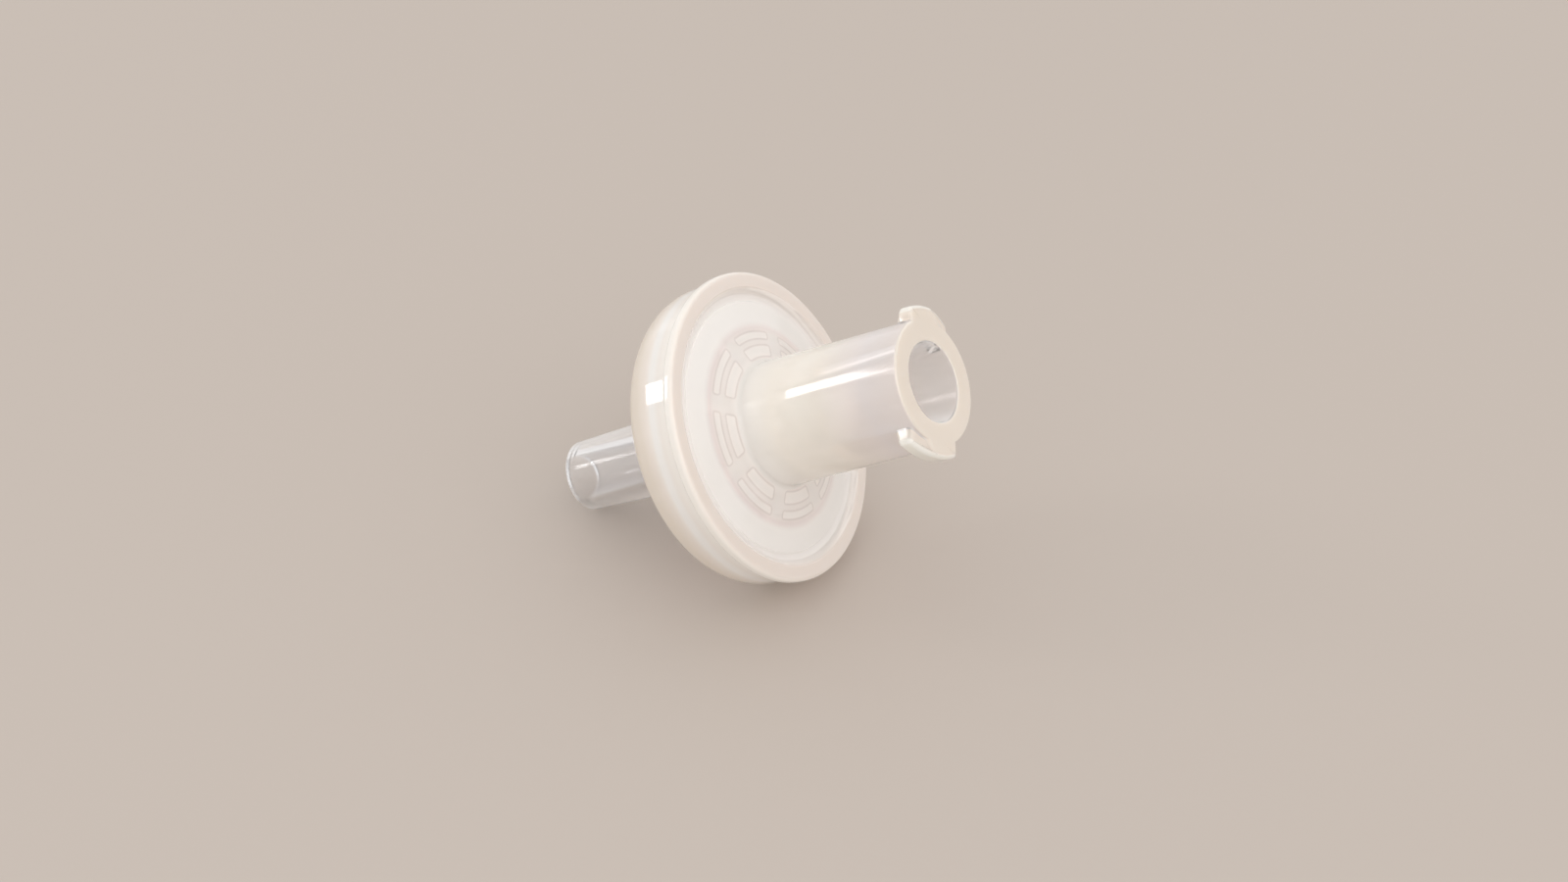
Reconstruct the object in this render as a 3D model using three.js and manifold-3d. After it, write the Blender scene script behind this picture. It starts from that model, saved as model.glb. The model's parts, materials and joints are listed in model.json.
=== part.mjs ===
// Syringe filter, 13 mm membrane class: a female Luer-lock inlet, a welded disc housing and a male Luer tip.
// Each piece is modelled about its own axis, with +Z towards the inlet and z = 0 on the front of the rim.
// The finished filter is then laid down on its outlet tip and the back of its disc, with its inlet raised.
import * as THREE from "three";
import { mergeVertices } from "three/addons/utils/BufferGeometryUtils.js";
import Module from "manifold-3d";

// ---- driving dimensions, mm ----
const FACETS = 48; // flats round a full turn
const LUER_TAPER = 0.03; // radius lost per mm of a 6% Luer cone

const MEMBRANE = { radius: 6.5, thickness: 0.15 };
const CLAMP = { width: 1.1, margin: 0.45, z: -1.25 }; // how much of its edge is held, and the room round it
const WELD_GAP = 0.03; // left between the two housings
const CLAMP_GAP = 0.02; // left above and below the membrane

const RIM = { overhang: 0.29, thickness: 0.62, corner: 0.25, faceWidth: 0.8 };
const ROOF = { creaseZ: -0.3, rise: 0.75, wall: 0.75 };
const HUB = { radius: 3.44, draft: 0.004, length: 10.65, edge: 0.12, blend: 0.32 };
const SOCKET = { mouthRadius: 2.155, floor: 1.35, leadIn: 0.15, portRadius: 0.95 };
const LUG = {
  height: 0.7, halfWidth: 1.85, centreDeg: -48, thinEnd: 1.0, lead: 5,
  relief: 0.42, edge: 0.26, corner: 0.2, leadIn: 0.4, flank: 0.22,
};

const SECTORS = 8; // rib groups above the membrane, and drains below it
const RIBS = { // under the roof: bands measured in from the chamber's wall
  bands: [{ inset: 0.2, width: 0.46 }, { inset: 1.0, width: 0.68 }],
  channel: 0.95, gapToMembrane: 0.12, endRound: 0.16, rootSink: 0.15,
};

const BASE = { wall: 1.29, height: 3.84, round: 1.5, foot: 0.95, coreDepth: 0.85, coreWall: 0.6 };
const GRID = { rings: 5, ringWidth: 0.42, innerRadius: 0.95, depth: 0.4, drain: 0.6 };
const TIP = { length: 9.42, endRadius: 1.975, edge: 0.12, boss: 0.35, rootBlend: 0.3 };
const BORE = { endRadius: 1.22, topRadius: 1.0, throatRadius: 0.6, throatCone: 0.35 };

const PP = { color: 0xe9e1d4, roughness: 0.32, metalness: 0 }; // natural polypropylene
const PTFE = { color: 0xf4f3f0, roughness: 0.85, metalness: 0 }; // membrane

// ---- sizes that follow from them ----
const chamberRadius = MEMBRANE.radius - CLAMP.width;
const spigotRadius = MEMBRANE.radius + CLAMP.margin;
const cupRadius = spigotRadius + WELD_GAP;
const baseRadius = cupRadius + BASE.wall;
const rimRadius = baseRadius + RIM.overhang;
const membraneTop = CLAMP.z - CLAMP_GAP;
const seatZ = membraneTop - MEMBRANE.thickness - CLAMP_GAP;
const roofSlope = ROOF.rise / (spigotRadius - HUB.radius);
const roofZ = (r) => ROOF.creaseZ + roofSlope * (spigotRadius - r); // outside of the conical roof
const ceilingZ = (r) => roofZ(r) - ROOF.wall; // inside of it, over the membrane
const taperRadius = (fromTip) => TIP.endRadius + LUER_TAPER * fromTip;
const backZ = -BASE.height;
const tipEndZ = backZ - TIP.length;
const lugRadius = HUB.radius + LUG.height;
const lugCentre = THREE.MathUtils.degToRad(LUG.centreDeg);
const sectorAngle = (2 * Math.PI) / SECTORS;

// ---- solids by boolean ----
const wasm = await Module();
wasm.setup();

/** The geometry as a manifold solid. */
function solid(geometry) {
  const bare = new THREE.BufferGeometry();
  bare.setAttribute("position", geometry.getAttribute("position").clone());
  if (geometry.index) bare.setIndex(geometry.index.clone());
  const merged = mergeVertices(bare, 1e-5);
  return new wasm.Manifold(new wasm.Mesh({
    numProp: 3,
    vertProperties: new Float32Array(merged.attributes.position.array),
    triVerts: new Uint32Array(merged.index.array),
  }));
}

/** The manifold solid as flat-shaded geometry. */
function geometryOf(manifold) {
  const mesh = manifold.getMesh();
  const geometry = new THREE.BufferGeometry();
  const position = new Float32Array((mesh.vertProperties.length / mesh.numProp) * 3);
  for (let i = 0; i < position.length / 3; i++)
    for (let k = 0; k < 3; k++) position[3 * i + k] = mesh.vertProperties[mesh.numProp * i + k];
  geometry.setAttribute("position", new THREE.BufferAttribute(position, 3));
  geometry.setIndex([...mesh.triVerts]);
  const flat = geometry.toNonIndexed();
  flat.computeVertexNormals();
  return flat;
}

const union = (parts) => parts.reduce((whole, part) => whole.add(part));

// ---- profiles, as [radius, z] ----

/** Points of an arc round (r, z), from one angle to another in degrees; 0 is outwards, 90 is up. */
function arc(r, z, radius, fromDeg, toDeg, steps) {
  return Array.from({ length: steps + 1 }, (_, i) => {
    const a = THREE.MathUtils.degToRad(fromDeg + ((toDeg - fromDeg) * i) / steps);
    return [r + radius * Math.cos(a), z + radius * Math.sin(a)];
  });
}

/** A closed profile turned about Z. Its points run anticlockwise in the (radius, z) plane. */
function turned(profile) {
  const points = [...profile, profile[0]].map(([r, z]) => new THREE.Vector2(r, z));
  const geometry = new THREE.LatheGeometry(points, FACETS, Math.PI / FACETS);
  return solid(geometry.rotateX(Math.PI / 2));
}

/** A plan shape drawn from (x, y) points, standing between two heights. */
function slab(points, bottom, top) {
  const shape = new THREE.Shape(points.map(([x, y]) => new THREE.Vector2(x, y)));
  const geometry = new THREE.ExtrudeGeometry(shape, { depth: top - bottom, bevelEnabled: false });
  return solid(geometry.translate(0, 0, bottom));
}

/** A closed solid through like-numbered cross-sections, each a ring of [x, y, z] points. */
function loft(sections) {
  const count = sections[0].length;
  const position = sections.flat(2);
  const index = [];
  for (let s = 0; s + 1 < sections.length; s++)
    for (let i = 0; i < count; i++) {
      const [a, b] = [s * count + i, s * count + ((i + 1) % count)];
      index.push(a, b, a + count, b, b + count, a + count);
    }
  const last = (sections.length - 1) * count;
  for (let i = 1; i + 1 < count; i++) index.push(0, i + 1, i, last, last + i, last + i + 1);
  const geometry = new THREE.BufferGeometry();
  geometry.setAttribute("position", new THREE.Float32BufferAttribute(position, 3));
  geometry.setIndex(index);
  return solid(geometry);
}

const polar = (r, angle) => [r * Math.cos(angle), r * Math.sin(angle)];

/** A solid turned about Z by an angle in radians. */
const turnedBy = (manifold, angle) => manifold.rotate([0, 0, THREE.MathUtils.radToDeg(angle)]);

// ---- inlet housing ----

/** Chamber under the roof, the clamp face round it and the spigot, up to the rim. */
function chamberProfile() {
  const lead = 0.1;
  return [
    [SOCKET.portRadius, ceilingZ(HUB.radius)],
    [HUB.radius, ceilingZ(HUB.radius)],
    [chamberRadius, ceilingZ(chamberRadius)],
    [chamberRadius, CLAMP.z],
    [spigotRadius - lead, CLAMP.z],
    [spigotRadius, CLAMP.z + lead],
    [spigotRadius, -RIM.thickness],
  ];
}

/** Rim that overhangs the base, its face, and the hollow wall down to the crease round the roof. */
function rimProfile() {
  const { corner, thickness, faceWidth } = RIM;
  const chamfer = 0.06;
  const inner = rimRadius - faceWidth;
  const hollow = inner - spigotRadius;
  const depth = 0.08 - ROOF.creaseZ;
  return [
    [rimRadius - chamfer, -thickness],
    [rimRadius, chamfer - thickness],
    ...arc(rimRadius - corner, -corner, corner, 0, 90, 5),
    ...[[0, 0], [0.11, 0.05], [0.21, 0.21], [0.33, 0.53], [0.49, 0.79], [0.69, 0.95], [0.87, 1], [0.96, 0.95]]
      .map(([across, down]) => [inner - across * hollow, -down * depth]),
  ];
}

/** Conical roof, blended into the hub, and the hub up to its end face. */
function hubProfile() {
  const faceRadius = HUB.radius - HUB.draft * (HUB.length - roofZ(HUB.radius));
  const blendZ = roofZ(HUB.radius + HUB.blend) + HUB.blend;
  return [
    [spigotRadius, ROOF.creaseZ],
    [chamberRadius, roofZ(chamberRadius)],
    ...arc(HUB.radius + HUB.blend, blendZ, HUB.blend, 258, 180, 4),
    ...arc(faceRadius - HUB.edge, HUB.length - HUB.edge, HUB.edge, 0, 90, 3),
  ];
}

/** Luer socket, from its lead-in at the hub's face down to the port over the membrane. */
function socketProfile() {
  const { mouthRadius, floor, leadIn, portRadius } = SOCKET;
  const floorZ = ceilingZ(HUB.radius) + floor;
  const floorRadius = mouthRadius - LUER_TAPER * (HUB.length - floorZ);
  return [
    [mouthRadius + leadIn / 2, HUB.length],
    [mouthRadius, HUB.length - leadIn],
    [floorRadius, floorZ + 0.12],
    [floorRadius - 0.1, floorZ],
    [portRadius + 0.25, floorZ - 0.12],
    [portRadius, floorZ - 0.35],
  ];
}

/** One Luer-lock lug: level with the hub's end, its back falling away with the thread's lead. */
function lug(centre) {
  const [root, top, tip] = [HUB.radius - 0.5, HUB.length, lugRadius];
  const spread = 1.25 * Math.asin(LUG.halfWidth / HUB.radius);
  const end = Math.asin(LUG.halfWidth / tip);
  const steps = 16;
  const sections = Array.from({ length: steps + 1 }, (_, i) => {
    const turn = (2 * spread * i) / steps - spread; // from the thick end to the thin one
    const back = top - LUG.thinEnd - (LUG.relief * LUG.lead * (end - turn)) / (2 * Math.PI);
    const drop = LUG.leadIn * THREE.MathUtils.smoothstep(-turn, 0, end);
    return [
      [root, top],
      [tip - LUG.edge - drop * 0.4, top - drop * 0.5],
      [tip - LUG.edge * 0.3, top - LUG.edge * 0.3 - drop * 0.8],
      [tip, top - LUG.edge - drop],
      [tip, back + LUG.flank * 1.2],
      [tip - LUG.flank / 2, back + LUG.flank * 0.6],
      [root, back - LUG.flank * 0.6],
    ].map(([r, z]) => [...polar(r, turn), z]);
  });
  const [half, near] = [LUG.halfWidth, tip * Math.cos(end) - LUG.corner];
  const slant = tip + 0.1 - near; // the ear's outer corners are cut off at 45 degrees
  const outline = [
    [0, -half], [near, -half], [near + slant, slant - half],
    [near + slant, half - slant], [near, half], [0, half],
  ];
  const ear = slab(outline, top - 3, top + 1);
  return turnedBy(loft(sections).intersect(ear), centre);
}

/** One arc-shaped rib that hangs from the roof, its ends rounded and square to the channels. */
function rib({ inset, width }, centre) {
  const outer = chamberRadius - inset;
  const inner = outer - width;
  const side = (r) => sectorAngle / 2 - Math.asin(RIBS.channel / 2 / r);
  const trim = (r) => side(r) - RIBS.endRound / r;
  const steps = 6;
  const sweep = (r, from, to) =>
    Array.from({ length: steps + 1 }, (_, i) => polar(r, from + ((to - from) * i) / steps));
  const [near, far] = [inner + RIBS.endRound, outer - RIBS.endRound];
  const outline = [
    ...sweep(inner, trim(inner), -trim(inner)), polar(near, -side(near)), polar(far, -side(far)),
    ...sweep(outer, -trim(outer), trim(outer)), polar(far, side(far)), polar(near, side(near)),
  ];
  return turnedBy(slab(outline, membraneTop + RIBS.gapToMembrane, ceilingZ(outer) + RIBS.rootSink), centre);
}

/** Inlet housing: one moulding with its lugs, and with the ribs that spread the flow under its roof. */
function inletHousing() {
  const body = turned([...chamberProfile(), ...rimProfile(), ...hubProfile(), ...socketProfile()]);
  const lugs = [0, Math.PI].map((half) => lug(lugCentre + half));
  const ribs = Array.from({ length: SECTORS }, (_, i) =>
    RIBS.bands.map((band) => rib(band, lugCentre + (i + 0.5) * sectorAngle))).flat();
  return union([body, ...lugs, ...ribs]);
}

// ---- membrane ----

/** Membrane: a plain disc held by its edge. */
function membraneDisc() {
  const bottom = membraneTop - MEMBRANE.thickness;
  return turned([[0, bottom], [MEMBRANE.radius, bottom], [MEMBRANE.radius, membraneTop], [0, membraneTop]]);
}

// ---- outlet housing ----

/** Male Luer tip, from its bore at the end to the boss on the back of the disc. */
function tipProfile() {
  const root = taperRadius(TIP.length);
  return [
    [BORE.endRadius + 0.05, tipEndZ],
    ...arc(TIP.endRadius - TIP.edge, tipEndZ + TIP.edge, TIP.edge, 270, 360, 3),
    [taperRadius(TIP.length - TIP.rootBlend), backZ - TIP.rootBlend],
    [root + TIP.rootBlend * 0.3, backZ - TIP.rootBlend * 0.3],
    [root + TIP.boss, backZ],
  ];
}

/** Cored back, the foot round it, the rounded side of the disc and the cup for the spigot. */
function cupProfile() {
  const coreInner = taperRadius(TIP.length) + TIP.boss + BASE.coreWall;
  const coreOuter = baseRadius - BASE.round - BASE.foot;
  const coreZ = backZ + BASE.coreDepth;
  const top = -RIM.thickness - WELD_GAP;
  const [draft, chamfer] = [0.1, 0.06];
  return [
    [coreInner, backZ], [coreInner + draft, coreZ], [coreOuter - draft, coreZ], [coreOuter, backZ],
    ...arc(baseRadius - BASE.round, backZ + BASE.round, BASE.round, 270, 360, 9),
    [baseRadius, top - chamfer], [baseRadius - chamfer, top],
    [cupRadius + chamfer, top], [cupRadius, top - chamfer], [cupRadius, seatZ],
  ];
}

/** The drained face under the membrane: rings that hold it up, and the grooves between them. */
function gridProfile() {
  const pitch = (chamberRadius - GRID.innerRadius) / GRID.rings;
  const grooveZ = seatZ - GRID.depth;
  const draft = 0.04;
  const rings = Array.from({ length: GRID.rings }, (_, i) => {
    const inside = GRID.innerRadius + (GRID.rings - 1 - i) * pitch;
    const outside = inside + GRID.ringWidth;
    return [[outside + draft, grooveZ], [outside, seatZ], [inside, seatZ], [inside - draft, grooveZ]];
  });
  return [[chamberRadius, seatZ], [chamberRadius - draft, grooveZ], ...rings.flat()];
}

/** Bore of the outlet, from the throat in the floor out to the end of the tip. */
function boreProfile() {
  const floorZ = backZ + 0.5;
  return [
    [BORE.throatRadius, seatZ - GRID.depth - 0.08],
    [BORE.throatRadius, floorZ + BORE.throatCone],
    [BORE.topRadius, floorZ],
    [BORE.endRadius, tipEndZ + 0.05],
  ];
}

/** Radial drains across the rings, aligned with the channels above the membrane. */
function drains() {
  const half = GRID.drain / 2;
  const [near, far] = [BORE.throatRadius / 2, chamberRadius - 0.15];
  return Array.from({ length: SECTORS }, (_, i) => {
    const bar = slab([[near, -half], [far, -half], [far, half], [near, half]], seatZ - GRID.depth, seatZ + 1);
    return turnedBy(bar, lugCentre + i * sectorAngle);
  });
}

/** Outlet housing: one moulding. */
function outletHousing() {
  const body = turned([...tipProfile(), ...cupProfile(), ...gridProfile(), ...boreProfile()]);
  return body.subtract(union(drains()));
}

// ---- at rest ----

/** Lean of the axis from level when the tip's end edge and the rounded back of the disc share a floor. */
function restLean() {
  const dr = baseRadius - BASE.round - (TIP.endRadius - TIP.edge);
  const dz = backZ + BASE.round - (tipEndZ + TIP.edge);
  return Math.atan2(dr, dz) + Math.asin((BASE.round - TIP.edge) / Math.hypot(dr, dz));
}

/** A named piece, laid at the rest lean. */
function piece(name, manifold, { color, roughness, metalness }) {
  const geometry = geometryOf(manifold).rotateY(Math.PI / 2 - restLean());
  const mesh = new THREE.Mesh(geometry, new THREE.MeshStandardMaterial({ color, roughness, metalness }));
  mesh.name = name;
  return mesh;
}

const filter = new THREE.Group();
filter.name = "syringe_filter";
filter.add(
  piece("inlet_housing", inletHousing(), PP),
  piece("membrane", membraneDisc(), PTFE),
  piece("outlet_housing", outletHousing(), PP),
);

const box = new THREE.Box3().setFromObject(filter, true);
const centre = box.getCenter(new THREE.Vector3());
for (const mesh of filter.children) mesh.geometry.translate(-centre.x, -centre.y, -box.min.z);

export default filter;
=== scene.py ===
"""Visual model of a syringe filter: two moulded polypropylene housings and the membrane held between them.

Every piece is modelled in millimetres about the filter's own axis, with +Z towards the inlet and z = 0 on the
front of the rim, as a moulder's drawing has it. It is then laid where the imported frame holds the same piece.
"""
import json
import logging
import math
from collections.abc import Callable, Iterable
from dataclasses import dataclass, field
from enum import Enum
from functools import reduce

import bpy
from bpy.types import Material, Node, NodeSocket, NodeTree, Object
from mathutils import Matrix, Vector


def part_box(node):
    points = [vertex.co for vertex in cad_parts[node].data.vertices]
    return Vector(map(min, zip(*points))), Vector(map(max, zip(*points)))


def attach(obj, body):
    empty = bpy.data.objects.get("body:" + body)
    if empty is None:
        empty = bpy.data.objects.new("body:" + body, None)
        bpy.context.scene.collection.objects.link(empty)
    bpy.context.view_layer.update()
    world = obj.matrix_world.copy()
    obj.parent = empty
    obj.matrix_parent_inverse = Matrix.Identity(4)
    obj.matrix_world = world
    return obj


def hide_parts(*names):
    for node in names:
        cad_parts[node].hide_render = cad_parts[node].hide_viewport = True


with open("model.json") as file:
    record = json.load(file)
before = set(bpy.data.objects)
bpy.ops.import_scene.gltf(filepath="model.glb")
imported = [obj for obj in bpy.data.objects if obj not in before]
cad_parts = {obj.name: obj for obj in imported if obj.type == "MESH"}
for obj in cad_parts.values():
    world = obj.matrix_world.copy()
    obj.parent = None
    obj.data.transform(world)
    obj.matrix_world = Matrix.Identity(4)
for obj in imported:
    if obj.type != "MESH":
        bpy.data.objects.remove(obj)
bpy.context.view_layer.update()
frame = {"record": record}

MM = 0.001
TURN_STEPS = 192
CAD_FACETS = 48
FLAT_RADIUS = math.cos(math.pi / CAD_FACETS)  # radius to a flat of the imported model, for each mm to its corners
MERGE = 1e-4  # vertices nearer than this, in mm, are one
SMOOTH = math.radians(32)  # faces that meet at less than this shade as one surface

# settings of the nodes that are used most
PRODUCT = {"operation": "MULTIPLY"}
LARGEST = {"operation": "MAXIMUM"}
FADE = {"interpolation_type": "SMOOTHSTEP"}
COLOURS = {"data_type": "RGBA"}

log = logging.getLogger("syringe_filter")
Point = tuple[float, float]
Number = Node | NodeSocket | float


# ---- colours and nodes ----

def srgb(code: str) -> tuple[float, float, float, float]:
    """Turns an sRGB hex colour to linear.

    Args:
        code: Six hex digits after a hash.

    Returns:
        Linear red, green, blue and an alpha of 1.
    """
    parts = [int(code[i:i + 2], 16) / 255 for i in (1, 3, 5)]
    linear = [p / 12.92 if p <= 0.04045 else ((p + 0.055) / 1.055) ** 2.4 for p in parts]
    return (*linear, 1.0)


def add_node(
    tree: NodeTree,
    kind: str,
    settings: dict[str, object] | None = None,
    inputs: dict[str | int, object] | None = None,
) -> Node:
    """Adds a node with its settings, and sets or links its inputs.

    Args:
        tree: The node tree that takes it.
        kind: The node's type.
        settings: Its own properties.
        inputs: A value, an output socket or a node whose first live output is linked, for each input.

    Returns:
        The new node.
    """
    node = tree.nodes.new(kind)
    for name, value in (settings or {}).items():
        setattr(node, name, value)
    for name, value in (inputs or {}).items():
        if isinstance(value, Node):
            value = next(socket for socket in value.outputs if socket.enabled)
        if isinstance(value, NodeSocket):
            tree.links.new(value, node.inputs[name])
        else:
            node.inputs[name].default_value = value
    return node


def blank_material(name: str) -> Material:
    """Makes a material with an empty node tree.

    Args:
        name: The material's name.

    Returns:
        The material.
    """
    material = bpy.data.materials.new(name)
    material.use_nodes = True
    material.node_tree.nodes.clear()
    return material


# ---- where the filter lies ----

@dataclass(frozen=True)
class Lie:
    """Where the filter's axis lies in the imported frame.

    Args:
        rim_front: Middle of the rim's front face, in metres.
        axis: Unit vector towards the inlet.
    """

    rim_front: Vector
    axis: Vector

    @classmethod
    def from_frame(cls, membrane_z: float) -> "Lie":
        """Reads the axis from the inlet's mount, and the place from the membrane.

        Args:
            membrane_z: Middle of the membrane on the filter's own axis, in mm.

        Returns:
            The filter's lie.
        """
        mounts = {mount["name"]: mount for mount in frame["record"]["mounts"]}
        axis = Vector(mounts["inlet_face"]["axis"]).normalized()
        low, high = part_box("membrane")
        return cls(rim_front=(low + high) / 2 - axis * membrane_z * MM, axis=axis)

    @property
    def lean(self) -> float:
        """Turn about Y that takes +Z to the axis, in radians."""
        return math.atan2(self.axis.x, self.axis.z)

    def matrix(self) -> Matrix:
        """Matrix from the drawing's millimetres to the frame's metres."""
        return Matrix.Translation(self.rim_front) @ Matrix.Rotation(self.lean, 4, "Y") @ Matrix.Scale(MM, 4)


# ---- modelling by operators ----

def arc(centre: Point, radius: float, start: float, end: float, steps: int) -> list[Point]:
    """Points of an arc in a profile.

    Args:
        centre: Its centre, as (radius from the axis, height).
        radius: Its radius.
        start: First angle in degrees, 0 outwards and 90 upwards.
        end: Last angle in degrees.
        steps: How many steps it takes.

    Returns:
        The points, both ends included.
    """
    angles = [math.radians(start + (end - start) * i / steps) for i in range(steps + 1)]
    return [(centre[0] + radius * math.cos(a), centre[1] + radius * math.sin(a)) for a in angles]


def shoulder(centre: Point, reach: Point, fullness: float, steps: int) -> list[Point]:
    """Points of a full, rounded shoulder in a profile: a quarter of a superellipse, from below outwards.

    Args:
        centre: Its centre, as (radius from the axis, height).
        reach: How far it reaches outwards and downwards.
        fullness: Exponent; 2 is an ellipse, and more is fuller.
        steps: How many steps it takes.

    Returns:
        The points, both ends included.
    """
    quarter = [math.pi / 2 * i / steps for i in range(steps + 1)]
    return [(centre[0] + reach[0] * math.sin(a) ** (2 / fullness),
             centre[1] - reach[1] * math.cos(a) ** (2 / fullness)) for a in quarter]


def begin_edit(name: str) -> Object:
    """Adds a small plane, opens it for editing and draws it together to one vertex at the origin.

    Args:
        name: The piece's name.

    Returns:
        The object that is open for editing.
    """
    bpy.ops.mesh.primitive_plane_add(size=1, location=(0, 0, 0))
    piece = bpy.context.object
    piece.name = piece.data.name = name
    bpy.ops.object.mode_set(mode="EDIT")
    bpy.ops.mesh.select_mode(type="VERT")
    bpy.ops.mesh.select_all(action="SELECT")
    bpy.ops.mesh.merge(type="CENTER")
    return piece


def trace(points: Iterable[Point]) -> None:
    """Draws a closed outline in the XZ plane, by extruding the one vertex that is open for editing.

    Args:
        points: The outline's corners, as (x, z).
    """
    corners = list(points)
    at = corners[0]
    bpy.ops.transform.translate(value=(at[0], 0, at[1]))
    for x, z in corners[1:] + corners[:1]:
        bpy.ops.mesh.extrude_region_move(TRANSFORM_OT_translate={"value": (x - at[0], 0, z - at[1])})
        at = (x, z)
    bpy.ops.mesh.select_all(action="SELECT")
    bpy.ops.mesh.remove_doubles(threshold=MERGE)
    bpy.ops.mesh.select_all(action="SELECT")


def end_edit() -> None:
    """Merges doubles, turns the faces outwards and closes the edit."""
    bpy.ops.mesh.select_all(action="SELECT")
    bpy.ops.mesh.remove_doubles(threshold=MERGE)
    bpy.ops.mesh.select_all(action="SELECT")
    bpy.ops.mesh.normals_make_consistent(inside=False)
    bpy.ops.object.mode_set(mode="OBJECT")


def turned(name: str, profile: Iterable[Point]) -> Object:
    """Turns a closed profile round the axis.

    Args:
        name: The piece's name.
        profile: Its outline, as (radius, height) in mm.

    Returns:
        The ring-shaped solid.
    """
    piece = begin_edit(name)
    trace(profile)
    bpy.ops.mesh.spin(steps=TURN_STEPS, angle=math.tau, center=(0, 0, 0), axis=(0, 0, 1))
    end_edit()
    return piece


def swept(name: str, outline: Iterable[Point], half: float, steps: int, climb: float = 0.0) -> Object:
    """Sweeps an outline round the axis, from one side of +X to the other, and leaves it open for editing.

    Args:
        name: The piece's name.
        outline: Its outline, as (radius, height) in mm.
        half: Half the angle of the sweep, in radians.
        steps: How many steps it takes.
        climb: How far it climbs for each radian, in mm.

    Returns:
        The solid that is open for editing.
    """
    piece, turn = begin_edit(name), 2 * half / steps
    trace(outline)
    bpy.ops.mesh.edge_face_add()
    bpy.ops.transform.rotate(value=half, orient_axis="Z", center_override=(0, 0, 0))
    for _ in range(steps):
        bpy.ops.mesh.extrude_region_move(TRANSFORM_OT_translate={"value": (0, 0, climb * turn)})
        bpy.ops.transform.rotate(value=-turn, orient_axis="Z", center_override=(0, 0, 0))
    return piece


def select_edges(piece: Object, wanted: Callable[[Vector, Vector], bool]) -> None:
    """Selects, in the piece that is open for editing, the edges whose two ends pass a test.

    Args:
        piece: The piece.
        wanted: Takes the places of an edge's ends, and says whether to select it.
    """
    bpy.ops.mesh.select_mode(type="EDGE")
    bpy.ops.mesh.select_all(action="DESELECT")
    bpy.ops.object.mode_set(mode="OBJECT")
    corners = piece.data.vertices
    for edge in piece.data.edges:
        edge.select = wanted(*(corners[i].co for i in edge.vertices))
    bpy.ops.object.mode_set(mode="EDIT")


def cut_by_plane(place: Vector, normal: Vector) -> None:
    """Cuts what is open for editing by a plane, drops what lies past it and caps the cut."""
    bpy.ops.mesh.select_all(action="SELECT")
    bpy.ops.mesh.bisect(plane_co=place, plane_no=normal, use_fill=True, clear_outer=True)


def pick(piece: Object) -> None:
    """Selects one object alone and makes it the active one."""
    bpy.ops.object.select_all(action="DESELECT")
    bpy.context.view_layer.objects.active = piece
    piece.select_set(True)


def use_modifier(piece: Object, kind: str, settings: dict[str, object]) -> None:
    """Adds a modifier with its settings and applies it.

    Args:
        piece: The object.
        kind: The modifier's type.
        settings: Its properties.
    """
    pick(piece)
    modifier = piece.modifiers.new(kind.lower(), kind)
    for name, value in settings.items():
        setattr(modifier, name, value)
    bpy.ops.object.modifier_apply(modifier=modifier.name)


def turned_copies(piece: Object, angles: Iterable[float]) -> Object:
    """Puts a copy of a piece at each angle round the axis, joined in one object.

    Args:
        piece: The object to copy, which is used up.
        angles: Where each copy goes, in radians.

    Returns:
        The joined object.
    """
    bpy.ops.object.select_all(action="DESELECT")
    for angle in angles:
        copy = bpy.data.objects.new(piece.name, piece.data.copy())
        bpy.context.scene.collection.objects.link(copy)
        copy.data.transform(Matrix.Rotation(angle, 4, "Z"))
        copy.select_set(True)
        bpy.context.view_layer.objects.active = copy
    bpy.ops.object.join()
    bpy.data.objects.remove(piece)
    return bpy.context.object


class Cut(Enum):
    """How one solid acts on another."""

    JOIN = "UNION"
    REMOVE = "DIFFERENCE"


def combine(piece: Object, other: Object, how: Cut) -> None:
    """Joins another solid to a piece, or cuts it away, and uses the other up.

    Args:
        piece: The piece that stays.
        other: The solid that acts on it.
        how: Whether it is joined or removed.
    """
    use_modifier(piece, "BOOLEAN", {"operation": how.value, "solver": "MANIFOLD", "object": other})
    bpy.data.objects.remove(other)


def lay_down(piece: Object, lie: Lie, node: str) -> None:
    """Shades a finished piece, lays it in the frame and puts it in its CAD node's place.

    Args:
        piece: The piece in drawing millimetres.
        lie: Where the filter lies.
        node: The CAD node that it replaces.
    """
    pick(piece)
    bpy.ops.object.shade_smooth_by_angle(angle=SMOOTH)
    use_modifier(piece, "WEIGHTED_NORMAL", {"keep_sharp": True, "weight": 60})
    piece.matrix_world = lie.matrix() @ Matrix.Diagonal((FLAT_RADIUS, FLAT_RADIUS, 1, 1))
    bpy.ops.object.transform_apply(location=True, rotation=True, scale=True)
    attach(piece, "root")
    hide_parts(node)
    log.info("%s: %d faces, for %s", piece.name, len(piece.data.polygons), node)


def dress(piece: Object, *materials: Material) -> None:
    """Puts materials on a piece, the first of them all over.

    Args:
        piece: The object.
        materials: Its materials.
    """
    piece.data.materials.clear()
    for material in materials:
        piece.data.materials.append(material)


def line(piece: Object, lie: Lie, shut_in: Callable[[float, float], bool]) -> None:
    """Gives a piece's second material to the faces whose middle passes a test.

    Args:
        piece: The object, laid down.
        lie: Where the filter lies.
        shut_in: Takes a radius and a height in mm, and says whether they are inside the filter.
    """
    to_drawing = lie.matrix().inverted()
    for face in piece.data.polygons:
        middle = to_drawing @ face.center
        face.material_index = int(shut_in(math.hypot(middle.x, middle.y), middle.z))


# ---- sizes that both housings share ----

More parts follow.
